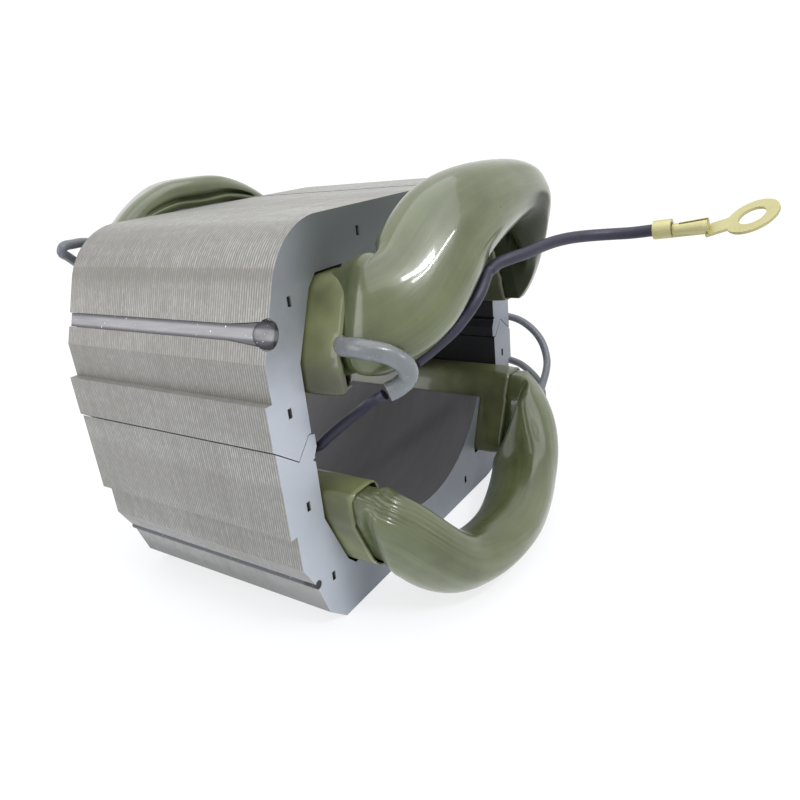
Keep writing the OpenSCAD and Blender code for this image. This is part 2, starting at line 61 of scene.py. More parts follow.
# Nodes
def rgb(r, g, b):
    return (r, g, b, 1)


class Nodes:
    """Short calls that build the nodes of one tree."""

    def __init__(self, tree):
        self.tree = tree

    def node(self, kind, **props):
        made = self.tree.nodes.new("ShaderNode" + kind)
        for key, value in props.items():
            setattr(made, key, value)
        return made

    def put(self, value, socket):
        if hasattr(value, "is_linked"):
            self.tree.links.new(value, socket)
        else:
            socket.default_value = value

    def math(self, operation, a, b=0.0):
        made = self.node("Math", operation=operation)
        self.put(a, made.inputs[0])
        self.put(b, made.inputs[1])
        return made.outputs[0]

    def plus(self, a, b):
        return self.math("ADD", a, b)

    def times(self, a, b):
        return self.math("MULTIPLY", a, b)

    def split(self, vector):
        made = self.node("SeparateXYZ")
        self.put(vector, made.inputs[0])
        return made.outputs["X"], made.outputs["Y"], made.outputs["Z"]

    def scaled(self, vector, factors):
        made = self.node("VectorMath", operation="MULTIPLY")
        self.put(vector, made.inputs[0])
        self.put(factors, made.inputs[1])
        return made.outputs["Vector"]

    def length(self, vector):
        made = self.node("VectorMath", operation="LENGTH")
        self.put(vector, made.inputs[0])
        return made.outputs["Value"]

    def dot(self, a, b):
        made = self.node("VectorMath", operation="DOT_PRODUCT")
        self.put(a, made.inputs[0])
        self.put(b, made.inputs[1])
        return made.outputs["Value"]

    def smooth(self, value, low, high, at_low=0.0, at_high=1.0):
        """An eased step from at_low to at_high, while the value goes from low to high."""
        made = self.node("MapRange", interpolation_type="SMOOTHSTEP")
        self.put(value, made.inputs["Value"])
        self.put(low, made.inputs["From Min"])
        self.put(high, made.inputs["From Max"])
        self.put(at_low, made.inputs["To Min"])
        self.put(at_high, made.inputs["To Max"])
        return made.outputs["Result"]

    def span(self, value, low, high):
        """A value of nought to one, spread from low to high."""
        made = self.node("MapRange")
        self.put(value, made.inputs["Value"])
        self.put(low, made.inputs["To Min"])
        self.put(high, made.inputs["To Max"])
        return made.outputs["Result"]

    def mix(self, share, a, b):
        made = self.node("Mix", data_type="RGBA")
        self.put(share, made.inputs["Factor"])
        self.put(a, made.inputs[6])
        self.put(b, made.inputs[7])
        return made.outputs[2]

    def stain(self, colour, mask, share, stain):
        """The colour, with a share of the stain in it where the mask is."""
        return self.mix(self.times(mask, share), colour, stain)

    def mix_shader(self, share, a, b):
        made = self.node("MixShader")
        self.put(share, made.inputs["Fac"])
        self.put(a, made.inputs[1])
        self.put(b, made.inputs[2])
        return made.outputs["Shader"]

    def noise(self, place, scale, detail):
        made = self.node("TexNoise")
        self.put(place, made.inputs["Vector"])
        self.put(scale, made.inputs["Scale"])
        self.put(detail, made.inputs["Detail"])
        self.put(0.55, made.inputs["Roughness"])
        return made.outputs["Fac"]

    def seen_rays(self):
        """One for rays of the camera, of reflections and through glass, else nought."""
        path = self.node("LightPath")
        share = path.outputs["Is Camera Ray"]
        for kind in ("Is Glossy Ray", "Is Transmission Ray"):
            share = self.math("MAXIMUM", share, path.outputs[kind])
        return share


class Shader(Nodes):
    """A principled material, with the object's own coordinates as place."""

    def __init__(self, name, **values):
        self.mat = bpy.data.materials.new(name)
        self.mat.use_nodes = True
        super().__init__(self.mat.node_tree)
        self.bsdf = self.tree.nodes["Principled BSDF"]
        self.place = self.node("TexCoord").outputs["Object"]
        for key, value in values.items():
            self.set(key.replace("_", " "), value)

    def set(self, name, value):
        self.put(value, self.bsdf.inputs[name])

    def bump(self, height, strength, distance):
        made = self.node("Bump")
        self.put(strength, made.inputs["Strength"])
        self.put(distance, made.inputs["Distance"])
        self.put(height, made.inputs["Height"])
        self.set("Normal", made.outputs["Normal"])


# Camera and stage
def set_camera():
    eye = Vector((-111.55, -94.89, 45.01)) * MM
    right = Vector((0.55176, -0.82688, -0.10876))
    down = Vector((-0.36325, -0.12088, -0.92382))
    look = Vector((0.75074, 0.54923, -0.36706))
    data = bpy.data.cameras.new("photo_camera")
    data.sensor_width = 36
    data.lens = 30.86
    data.shift_x = 0.0278
    data.shift_y = 0.0155
    data.clip_start = 0.005
    camera = bpy.data.objects.new("photo_camera", data)
    camera.matrix_world = Matrix.Translation(eye) @ Matrix((right, -down, -look)).transposed().to_4x4()
    scene.collection.objects.link(camera)
    scene.camera = camera


def softbox(name, place, aim, width, height, power, colour=(1, 1, 1)):
    data = bpy.data.lights.new(name, "AREA")
    data.shape = "RECTANGLE"
    data.size = width
    data.size_y = height
    data.energy = power
    data.color = colour
    light = bpy.data.objects.new(name, data)
    light.location = place
    light.rotation_euler = (Vector(aim) - Vector(place)).to_track_quat("-Z", "Y").to_euler()
    scene.collection.objects.link(light)


def set_world():
    """White where it is seen; as light, bright above and behind the part and dim in front of it."""
    world = bpy.data.worlds.new("studio")
    world.use_nodes = True
    n = Nodes(world.node_tree)
    n.tree.nodes.clear()
    behind = n.dot(n.node("TexCoord").outputs["Generated"], Vector((0.75, 0.55, 0.38)).normalized())
    fill = n.node("Background")
    n.put(rgb(0.94, 0.96, 1), fill.inputs["Color"])
    n.put(n.smooth(behind, 0.0, 1.0, 0.12, 1.55), fill.inputs["Strength"])
    white = n.node("Background")
    n.put(rgb(1, 1, 1), white.inputs["Color"])
    n.put(WHITE_LEVEL, white.inputs["Strength"])
    shown = n.mix_shader(n.seen_rays(), fill.outputs[0], white.outputs[0])
    n.put(shown, n.node("OutputWorld").inputs["Surface"])
    scene.world = world


def floor_material():
    """White table: a faint shadow near the part, plain white further out, and its bounce as light."""
    mat = bpy.data.materials.new("floor_white")
    mat.use_nodes = True
    n = Nodes(mat.node_tree)
    n.tree.nodes.clear()
    away = n.length(n.node("TexCoord").outputs["Object"])
    table = n.node("BsdfDiffuse")
    n.put(rgb(0.82, 0.83, 0.90), table.inputs["Color"])
    white = n.node("Emission")
    n.put(WHITE_LEVEL, white.inputs["Strength"])
    bounce = n.node("Emission")
    n.put(rgb(0.84, 0.93, 1), bounce.inputs["Color"])
    n.put(n.smooth(away, 0.06, 0.30, 0.9, 0.0), bounce.inputs["Strength"])
    lit = n.node("AddShader")
    n.put(table.outputs[0], lit.inputs[0])
    n.put(bounce.outputs[0], lit.inputs[1])
    seen = n.mix_shader(n.smooth(away, 0.03, 0.10, 0.72, 1.0), table.outputs[0], white.outputs[0])
    n.put(n.mix_shader(n.seen_rays(), lit.outputs[0], seen), n.node("OutputMaterial").inputs["Surface"])
    return mat


def set_stage():
    bpy.ops.mesh.primitive_plane_add(size=6, location=(0, 0, FLOOR_Z))
    floor = bpy.context.object
    floor.name = "floor"
    floor.data.materials.append(floor_material())
    set_world()
    core = (0, 0, 0)
    bulge = (-0.025, -0.042, 0.027)
    softbox("top_softbox", (-0.04, -0.08, 0.60), core, 0.9, 0.9, 4.0, (0.92, 0.96, 1))
    softbox("left_softbox", (-0.42, 0.30, 0.14), core, 0.35, 0.35, 0.9)
    softbox("glint_wide", (-0.070, -0.262, 0.289), bulge, 0.09, 0.022, 0.4)
    softbox("glint_thin", (-0.012, -0.285, 0.268), bulge, 0.16, 0.006, 0.2)


# Materials
def sheet_edges(s, y, z, from_axis, cloud):
    """Colour and height of the sheets' edges: grooves between them, a tone and dashes for each, and painted
    shade under the top shoulder and low down.
    """
    wobble = s.times(s.math("SUBTRACT", s.noise(s.place, 1500, 2), 0.5), 0.2 * SHEET)
    count = s.plus(s.math("DIVIDE", s.plus(y, wobble), SHEET), 0.3)
    sheet = s.math("FLOOR", count)
    white_noise = s.node("TexWhiteNoise", noise_dimensions="1D")
    s.put(sheet, white_noise.inputs["W"])
    tone = white_noise.outputs["Value"]
    dash = s.node("TexNoise", noise_dimensions="4D")
    s.put(from_axis, dash.inputs["Vector"])
    s.put(s.times(sheet, 7.3), dash.inputs["W"])
    s.put(800, dash.inputs["Scale"])
    s.put(2, dash.inputs["Detail"])
    ridge = s.smooth(s.math("PINGPONG", count, 0.5), 0.0, 0.34)

    edge = s.mix(s.smooth(cloud, 0.3, 0.7), rgb(0.30, 0.292, 0.265), rgb(0.395, 0.388, 0.37))
    edge = s.stain(edge, tone, 0.35, rgb(0.52, 0.515, 0.495))
    edge = s.stain(edge, s.smooth(dash.outputs["Fac"], 0.62, 0.42), 0.25, rgb(0.12, 0.115, 0.11))
    lines = s.mix(ridge, rgb(0.165, 0.158, 0.14), edge)
    belt = s.smooth(s.noise(s.scaled(s.place, (1, 0.04, 1)), 130, 3), 0.4, 0.6)
    lines = s.stain(lines, belt, 0.34, rgb(0.17, 0.16, 0.14))
    # Painted shade: a darker band under the top shoulder, z 24.5 to 29.6 mm.
    shoulder = s.times(s.smooth(z, 29.6 * MM, 29.2 * MM), s.smooth(z, 24.5 * MM, 28.8 * MM))
    lines = s.stain(lines, shoulder, 0.4, rgb(0.16, 0.15, 0.125))
    # Painted shade: the sides darker low down, below z -25 mm.
    lines = s.stain(lines, s.smooth(z, -25 * MM, -31 * MM), 0.4, rgb(0.12, 0.12, 0.125))
    return lines, s.plus(ridge, s.times(tone, 0.5))


def end_face(s, x, y, z, cloud):
    """Colour of the end faces: bright low at the left, with painted shade above, towards the bottom and to
    the right, and painted black in the pits.
    """
    flat = s.mix(s.noise(s.place, 60, 5), rgb(0.40, 0.414, 0.45), rgb(0.55, 0.572, 0.615))
    inner = s.smooth(x, -38 * MM, -25 * MM)
    # Painted shade: darker above, from z 18 mm up, with a cloudy edge.
    shade_above = s.smooth(s.plus(z, s.times(cloud, 20 * MM)), 18 * MM, 37 * MM)
    flat = s.stain(flat, shade_above, s.span(inner, 0.58, 0.9), rgb(0.078, 0.09, 0.083))
    # Painted shade: darker towards the bottom, most of all right of x -25 mm.
    low = s.smooth(z, -12 * MM, -33 * MM)
    flat = s.stain(flat, low, s.span(inner, 0.2, 0.75), rgb(0.12, 0.13, 0.15))
    # Painted shade: darker to the right.
    flat = s.stain(flat, s.smooth(x, -5 * MM, 30 * MM), 0.6, rgb(0.10, 0.11, 0.125))
    # Painted shade: the pits, just behind the end faces, are made nearly black.
    pit = s.smooth(s.math("ABSOLUTE", y), STACK_HALF - 0.08 * MM, STACK_HALF - 0.2 * MM)
    return s.mix(pit, flat, rgb(0.01, 0.01, 0.012))


def lamination_steel():
    """Punched sheets: fine jagged lines over the edges, plain faces at the ends, a ground bore, and painted
    shade on faces that look in towards the axis.
    """
    s = Shader("lamination_steel")
    x, y, z = s.split(s.place)
    from_axis = s.scaled(s.place, (1, 0, 1))
    normal = s.node("NewGeometry").outputs["True Normal"]
    face = s.smooth(s.math("ABSOLUTE", s.split(normal)[1]), 0.8, 0.95)
    edge = s.smooth(s.length(from_axis), BORE_R + 0.1 * MM, BORE_R + 0.4 * MM)
    # Painted shade: faces that look in towards the axis; their sheet edges are made nearly black, with less
    # shine.
    inward_shade = s.smooth(s.dot(normal, from_axis), 0, -1 * MM)
    cloud = s.noise(s.scaled(s.place, (1, 0.5, 1)), 70, 4)

    lines, steps = sheet_edges(s, y, z, from_axis, cloud)
    # Painted shade on the faces that look in towards the axis.
    lines = s.stain(lines, inward_shade, 0.96, rgb(0.012, 0.012, 0.015))
    ground = s.noise(s.scaled(s.place, (1, 6, 1)), 90, 3)
    bore = s.mix(ground, rgb(0.078, 0.075, 0.08), rgb(0.118, 0.114, 0.121))
    s.set("Base Color", s.mix(face, s.mix(edge, bore, lines), end_face(s, x, y, z, cloud)))
    s.set("Metallic", s.times(s.span(edge, 0.2, 0.38), s.math("SUBTRACT", 1.0, inward_shade)))
    s.set("Specular IOR Level", s.span(s.times(inward_shade, edge), 0.5, 0.1))
    s.set("Roughness", s.span(s.noise(s.place, 300, 3), 0.46, 0.62))
    lined = s.times(edge, s.math("SUBTRACT", 1.0, face))
    grain = s.times(s.noise(s.place, 2500, 2), 0.15)
    s.bump(s.plus(s.times(steps, lined), grain), 0.4, 0.06 * MM)
    return s.mat


def weld_metal():
    """Weld seam: scalloped ripples, painted shade along both edges and round the crater, and small painted
    glints.
    """
    s = Shader("weld_metal", Metallic=0.5)
    y = s.split(s.place)[1]
    off = s.math("ABSOLUTE", s.math("SUBTRACT", s.math("ABSOLUTE", s.dot(s.place, SEAM_ACROSS)), SEAM_UP))
    off_squared = s.times(off, off)
    wave = s.plus(y, s.plus(s.times(off_squared, 400.0), s.times(s.noise(s.place, 250, 2), 2 * MM)))
    scallop = s.math("PINGPONG", s.math("DIVIDE", wave, 1.3 * MM), 0.5)
    mottle = s.noise(s.scaled(s.place, (1, 0.12, 1)), 900, 4)
    body = s.mix(mottle, rgb(0.14, 0.135, 0.14), rgb(0.38, 0.375, 0.39))
    # Painted shade along both edges of the seam.
    body = s.stain(body, s.smooth(off, 0.55 * MM, 1.1 * MM), 0.8, rgb(0.05, 0.05, 0.06))
    # Painted shade round the crater, at the front end of the seam.
    along = s.times(s.math("SUBTRACT", y, CRATER_Y), 1.4)
    from_crater = s.math("SQRT", s.plus(off_squared, s.times(along, along)))
    rim = s.times(s.smooth(from_crater, 1.2 * MM, 1.9 * MM), s.smooth(y, -22 * MM, -22.8 * MM))
    body = s.stain(body, rim, 0.85, rgb(0.03, 0.03, 0.035))
    # Painted glints: small near-white flecks.
    painted_glints = s.smooth(s.noise(s.place, 2200, 1), 0.745, 0.77)
    s.set("Base Color", s.mix(painted_glints, body, rgb(0.9, 0.9, 0.92)))
    s.set("Roughness", s.span(mottle, 0.36, 0.58))
    s.bump(s.plus(s.times(scallop, 0.5), mottle), 0.45, 0.15 * MM)
    return s.mat


COAT = 0.6
GLOSS = 0.45


def varnish(name):
    s = Shader(name, Coat_Weight=COAT, Coat_Roughness=0.08, Specular_IOR_Level=GLOSS)
    s.set("Roughness", s.span(s.noise(s.place, 160, 3), 0.22, 0.42))
    return s


def right_side(s, x):
    return s.smooth(x, 2 * MM, 14 * MM)


def varnished_coil():
    """Olive varnish with streaks along the winding, and painted shade, dull and dark, in the hollow at the
    upper right.
    """
    s = varnish("varnished_coil")
    x, _, z = s.split(s.place)
    # Painted shade: at the upper right, faces that look in towards the axis are made dark, without coat and
    # with little shine.
    outward = s.dot(s.node("NewGeometry").outputs["Normal"], s.scaled(s.place, (1, 0, 1)))
    hollow = s.times(s.smooth(outward, 1 * MM, -10 * MM), right_side(s, x))
    hollow = s.times(hollow, s.smooth(z, 0.0, 8 * MM))
    s.set("Coat Weight", s.span(hollow, COAT, 0.0))
    s.set("Specular IOR Level", s.span(hollow, GLOSS, 0.08))
    winding = s.node("UVMap", uv_map="Winding").outputs["UV"]
    streak = s.noise(s.scaled(winding, (0.6, 26, 1)), 1, 3)
    cloud = s.noise(s.place, 120, 3)
    olive = s.smooth(s.plus(streak, cloud), 0.55, 1.45)
    tint = s.mix(olive, rgb(0.063, 0.074, 0.026), rgb(0.110, 0.128, 0.054))
    s.set("Base Color", s.stain(tint, hollow, 0.92, rgb(0.014, 0.016, 0.007)))
    s.bump(s.plus(streak, s.times(cloud, 0.6)), 0.38, 0.2 * MM)
    return s.mat


def liner_film():
    """Varnished film in patches, dark low on the upper liners, with painted shade at the right and on its
    inner wall.
    """
    s = varnish("liner_film")
    x, _, z = s.split(s.place)
    inner_wall_shade = s.node("Attribute", attribute_name="inner_wall_shade").outputs["Fac"]
    clean = s.mix(s.noise(s.place, 200, 3), rgb(0.138, 0.15, 0.058), rgb(0.245, 0.264, 0.112))
    patch = s.smooth(s.noise(s.place, 95, 2), 0.3, 0.62)
    tint = s.mix(patch, rgb(0.1002, 0.1066, 0.0426), clean)
    sunk = s.times(s.smooth(z, 0, 6 * MM), s.smooth(z, 20 * MM, 10 * MM))
    tint = s.stain(tint, sunk, 0.75, rgb(0.05, 0.044, 0.026))
    # Painted shade: the liners darker at the right.
    tint = s.stain(tint, right_side(s, x), 0.5, rgb(0.025, 0.027, 0.014))
    # Painted shade: the film's inner wall made nearly black.
    s.set("Base Color", s.mix(inner_wall_shade, tint, rgb(0.03, 0.03, 0.016)))
    s.bump(s.noise(s.place, 500, 3), 0.25, 0.1 * MM)
    return s.mat


def insulation(name, dark, light, roughness):
    s = Shader(name)
    s.set("Base Color", s.mix(s.noise(s.place, 350, 3), dark, light))
    s.set("Roughness", s.span(s.noise(s.place, 900, 2), roughness - 0.08, roughness + 0.08))
    s.bump(s.noise(s.place, 1800, 2), 0.15, 0.1 * MM)
    return s.mat


def terminal_brass():
    s = Shader("terminal_brass", Metallic=0.75)
    s.set("Base Color", s.mix(s.noise(s.place, 160, 2), rgb(0.40, 0.365, 0.17), rgb(0.54, 0.51, 0.28)))
    s.set("Roughness", s.span(s.noise(s.place, 250, 2), 0.44, 0.56))
    s.bump(s.noise(s.place, 1500, 2), 0.05, 0.05 * MM)
    return s.mat


# Slot outline and coil sides, as in the solids
SLOT = np.array([(21.2, 26.9), (28.27, 26.9), (30.27, 24.9), (34.9, 14),
                 (34.9, 8), (27.51, 8), (25.49, 14.13), (21.2, 24.44)])
FRONT_END = 31.5
REAR_END = 28
LINER_WALL = 1.0
SLOT_POWER = 9
SIDE_TOP = (SLOT[0] + SLOT[1]) / 2
SIDE_LOW = (SLOT[4] + SLOT[5]) / 2
SIDE_MID = (SIDE_TOP + SIDE_LOW) / 2
SIDE_DIR = (SIDE_TOP - SIDE_LOW) / np.linalg.norm(SIDE_TOP - SIDE_LOW)
SIDE_OUT = np.array([SIDE_DIR[1], -SIDE_DIR[0]])


def unit(v):
    return v / np.linalg.norm(v)


def slot_reach(directions):
    """Distance from the coil side's middle to its rounded outline in the slot."""
    total = 0
    for p, q in zip(SLOT, np.roll(SLOT, -1, axis=0)):
        facing = np.array([p[1] - q[1], q[0] - p[0]]) / np.linalg.norm(q - p)
        wall = (p - SIDE_MID) @ facing - LINER_WALL
        total = total + (np.maximum(0, directions @ facing) / wall) ** SLOT_POWER
    return total ** (-1 / SLOT_POWER)


SIDE_HALF = slot_reach(SIDE_DIR[None])[0]
SIDE_THICK = (slot_reach(SIDE_OUT[None])[0] + slot_reach(-SIDE_OUT[None])[0]) / 2
SIDE_LEAN = SIDE_DIR[0] / SIDE_DIR[1]

# A coil is a loft over stations. Each one holds its place across (1 is the coil side's), out from the
# liner's end and up, the lean and tilt of its width, half its width and thickness, its outline's power,
# its share of the slot's outline, and how far it turns with the path. The stations are the solids', with
# fuller mouths at the left.
ACROSS, OUT, UP, LEAN, TILT, HALF_WIDE, HALF_THICK, POWER, IN_SLOT, TURNED = range(10)
STATION_STEPS = 14
STRAIGHT_STEPS = 8
COIL_SIDES = 240
WINDING_SCALE = 0.1

# Relief of the coils: wires at the lower coil's mouth, and the crease of the upper rear end turn
WIRE_HEIGHT = 0.22
WIRES_ROUND = 46
WIRE_BAND = 0.468
WIRE_BAND_WIDTH = 0.05
MOUTH_OUT = 4
MOUTH_REACH = 4.5
CREASE_DEPTH = 1.7
CREASE_REACH = 0.62
CREASE_ANGLE = -0.12
CREASE_WIDTH = 0.075


def side_station(across, out):
    return (across, out, 0, across * SIDE_LEAN, 0, SIDE_HALF, SIDE_THICK, 3, 1, 0)


def both_sides(half):
    return half + [(-s[ACROSS], s[OUT], s[UP], -s[LEAN]) + tuple(s[TILT:]) for s in half[-2::-1]]


def upper_front(out=9, up=15.5, w=6.5, t=6.3):
    return [
        side_station(-1, -6),
        (-1, -3, 1.3, 0.35, 0, 1.38 * w, 0.48 * t, 3, 0, 0),
        (-1, 0, 2.6, 0.35, 0.1, 1.4 * w, 0.53 * t, 3, 0, 0.1),
        (-1, 2.2, 3, 0.36, 0.1, 1.43 * w, 0.7 * t, 2.9, 0, 0.15),
        (-0.99, 0.55 * out, 0.19 * up, 0.36, 0.2, 1.41 * w, 0.8 * t, 2.8, 0, 0.3),
        (-0.78, 0.79 * out, 0.37 * up, 0.3, 0.4, 1.37 * w, 0.95 * t, 2.3, 0, 0.7),
        (-0.38, 0.87 * out, 0.85 * up, 0.15, 0.7, 1.31 * w, t, 2.2, 0, 1),
        (0.15, 0.96 * out, 1.02 * up, 0, 0.6, w, t, 2.2, 0, 1),
        (0.62, 0.9 * out, 0.95 * up, -0.2, 0.3, 0.74 * w, 0.97 * t, 2.3, 0, 0.8),
        (0.99, 0.62 * out, 0.38 * up, -0.35, 0.1, 0.86 * w, 0.8 * t, 2.6, 0, 0.3),
        side_station(1, 2.5)]


def lower_front(out=11.6, up=11.6, w=7.2, t=5.5):
    return [
        side_station(-1, -1),
        (-0.995, 2, 0.6, 0.35, 0.05, 1.25 * w, 0.84 * t, 2.8, 0, 0.1),
        (-0.97, 0.41 * out, 0.21 * up, 0.35, 0.1, 1.16 * w, 0.92 * t, 2.6, 0, 0.3),
        (-0.66, 0.84 * out, 0.94 * up, 0.2, 1.5, 0.93 * w, t, 2.3, 0, 1),
        (-0.05, out, 1.04 * up, 0, 3, w, 0.96 * t, 2.2, 0, 1),
        (0.57, 0.7 * out, 0.8 * up, -0.2, 1.5, 1.08 * w, t, 2.3, 0, 1),
        (0.94, 0.37 * out, 0.18 * up, -0.35, 0, 1.18 * w, 1.15 * t, 2.6, 0, 0.3),
        side_station(1, 2.5)]


def upper_rear(out=6.4, up=20.3, w=7, t=4.2):
    return both_sides([
        side_station(-1, 1.4),
        (-0.97, 0.45 * out, 0.152 * up, 0.38, 0, 1.14 * w, 0.86 * t, 2.6, 0, 0.2),
        (-0.7, 0.75 * out, 0.675 * up, 0.45, 0.8, 0.9 * w, 0.86 * t, 2.4, 0, 0.7),
        (-0.31, 0.95 * out, 0.95 * up, 0.1, 4, 0.95 * w, 0.98 * t, 2.6, 0, 1),
        (0, out, up, 0, 12, w, t, 2.8, 0, 1)])


def lower_rear(out=9, up=14.3, w=8.5, t=3.45):
    return both_sides([
        side_station(-1, 1.4),
        (-0.985, 0.35 * out, 0.16 * up, 0.35, 0, 0.9 * w, 1.1 * t, 2.6, 0, 0.2),
        (-0.78, 0.7 * out, 0.7 * up, 0.2, 1.5, 0.74 * w, 1.12 * t, 2.4, 0, 0.8),
        (-0.42, 0.95 * out, 0.95 * up, 0, 8, 0.88 * w, 1.03 * t, 2.6, 0, 1),
        (0, out, up, 0, 30, w, t, 2.8, 0, 1)])


def smooth_path(points, steps):
    """Catmull-Rom points through a list, as the solids use."""
    p = np.array(points, float)
    n = len(p) - 1
    made = []
    for i in range(n):
        a, b, c, d = p[max(i - 1, 0)], p[i], p[i + 1], p[min(i + 2, n)]
        for t in np.arange(steps) / steps:
            made.append((2 * b + (c - a) * t + (2 * a - 5 * b + 4 * c - d) * t ** 2
                         + (3 * b - a - 3 * c + d) * t ** 3) / 2)
    made.append(p[-1])
    return np.array(made)


def mesh_piece(name, verts, faces, material):
    mesh = bpy.data.meshes.new(name)
    mesh.from_pydata((verts * MM).tolist(), [], faces)
    mesh.validate()
    mesh.materials.append(material)
    made = bpy.data.objects.new(name, mesh)
    scene.collection.objects.link(made)
    return made


def coil_path(front, rear):
    """Stations round the whole coil, each one's share of the front, its middle and the length so far."""
    front = smooth_path(front, STATION_STEPS)
    rear = smooth_path(rear, STATION_STEPS)[::-1]
    run = np.linspace(0, 1, STRAIGHT_STEPS)[1:-1]
    back = run[:, None]
    stations = np.vstack([front, front[-1] * (1 - back) + rear[0] * back,
                          rear, rear[-1] * (1 - back) + front[0] * back])
    fore = np.r_[np.ones(len(front)), 1 - run, np.zeros(len(rear)), run]
    y = fore * (-FRONT_END - stations[:, OUT]) + (1 - fore) * (REAR_END + stations[:, OUT])
    middle = np.c_[stations[:, ACROSS] * SIDE_MID[0], y, SIDE_MID[1] + stations[:, UP]]
    length = np.r_[0, np.cumsum(np.linalg.norm(np.diff(middle, axis=0), axis=1))]
    return stations, fore, middle, length


def coil_relief(angle, s, fore, length, lower):
    """Height of the relief round one station."""
    lump = 0.06 * np.cos(5 * angle + 0.05 * length) + 0.04 * np.cos(9 * angle - 0.08 * length)
    relief = (lump - 0.1) * (1 - s[IN_SLOT].clip(0, 1))
    if lower and fore > 0.99 and s[ACROSS] < 0:
        near = max(0, 1 - abs(s[OUT] - MOUTH_OUT) / MOUTH_REACH)
        band = np.exp(-((angle / (2 * math.pi) - WIRE_BAND) / WIRE_BAND_WIDTH) ** 2)
        relief = relief + WIRE_HEIGHT * near * band * np.cos(WIRES_ROUND * angle)
    if not lower and fore < 0.01:
        behind = max(0, 1 - abs(s[ACROSS]) / CREASE_REACH) ** 0.5
        below = (angle - CREASE_ANGLE + math.pi) % (2 * math.pi) - math.pi
        relief = relief - CREASE_DEPTH * behind * np.exp(-(below / CREASE_WIDTH) ** 2)
    return relief


def coil(name, front, rear, lower, material):
    stations, fore, middle, length = coil_path(front, rear)
    angle = np.arange(COIL_SIDES) * 2 * math.pi / COIL_SIDES
    cos, sin = np.cos(angle), np.sin(angle)
    slot = slot_reach(cos[:, None] * SIDE_DIR + sin[:, None] * SIDE_OUT)
    n = len(middle)
    rings = []
    for i, s in enumerate(stations):
        run = unit(middle[(i + 1) % n] - middle[i - 1])
        along = unit((1 - s[TURNED]) * np.array([0, np.sign(run[1]), 0]) + s[TURNED] * run)
        lean = np.array([s[LEAN], s[TILT] if fore[i] > 0.5 else -s[TILT], 1])
        wide = unit(lean - (lean @ along) * along)
        thick = np.cross(along, wide)
        in_slot = s[IN_SLOT].clip(0, 1)
        power = 2 / s[POWER]
        p = in_slot * slot * cos + (1 - in_slot) * s[HALF_WIDE] * np.sign(cos) * np.abs(cos) ** power
        q = in_slot * slot * sin + (1 - in_slot) * s[HALF_THICK] * np.sign(sin) * np.abs(sin) ** power
        swell = 1 + coil_relief(angle, s, fore[i], length[i], lower) / np.hypot(p, q)
        rings.append(middle[i] + (p * swell)[:, None] * wide + (q * swell)[:, None] * thick)
    verts = np.vstack(rings)
    if lower:
        verts[:, 2] *= -1

    faces = []
    for i in range(n):
        here = i * COIL_SIDES
        there = (i + 1) % n * COIL_SIDES
        for k in range(COIL_SIDES):
            m = (k + 1) % COIL_SIDES
            quad = (here + k, there + k, there + m, here + m)
            faces.append(quad if lower else quad[::-1])
    made = mesh_piece(name, verts, faces, material)
    mesh = made.data
    index = np.zeros(len(mesh.loops), dtype=np.int32)
    mesh.loops.foreach_get("vertex_index", index)
    winding = np.c_[length[index // COIL_SIDES] * WINDING_SCALE, (index % COIL_SIDES) / COIL_SIDES]
    mesh.uv_layers.new(name="Winding").data.foreach_set("uv", winding.astype(np.float32).ravel())
    for poly in mesh.polygons:
        poly.use_smooth = True
    return made


# Slot liners, as thin film with rounded folds and an uneven front edge
FILM_OUTSIDE = 0.4
FILM_INSIDE = 0.72
FOLD_OUTSIDE = 1.4
FOLD_INSIDE = 1.2
FOLD_POINTS = 6
EDGE_WAVE = 0.12
LOOSE_FROM = 0.89
LOOSE_WAVE = 0.16
LOOSE_IN = 0.14
# Share of painted shade on the liners' inner wall.
INNER_WALL_SHADE = 0.7


def wall_inside(d):
    """The slot's outline moved in by d."""
    p, q = SLOT, np.roll(SLOT, -1, axis=0)
    facing = np.c_[p[:, 1] - q[:, 1], q[:, 0] - p[:, 0]]
    facing /= np.linalg.norm(facing, axis=1)[:, None]
    level = (p * facing).sum(1) - d
    return np.array([np.linalg.solve([facing[i - 1], facing[i]], [level[i - 1], level[i]])
                     for i in range(len(p))])


def folded(outline, radius):
    """The outline with its corners rounded."""
    made = []
    n = len(outline)
    for i, v in enumerate(outline):
        back, on = outline[i - 1] - v, outline[(i + 1) % n] - v
        a = v + unit(back) * min(radius, 0.45 * np.linalg.norm(back))
        b = v + unit(on) * min(radius, 0.45 * np.linalg.norm(on))
        for t in np.linspace(0, 1, FOLD_POINTS):
            made.append((1 - t) ** 2 * a + 2 * t * (1 - t) * v + t * t * b)
    return np.array(made)


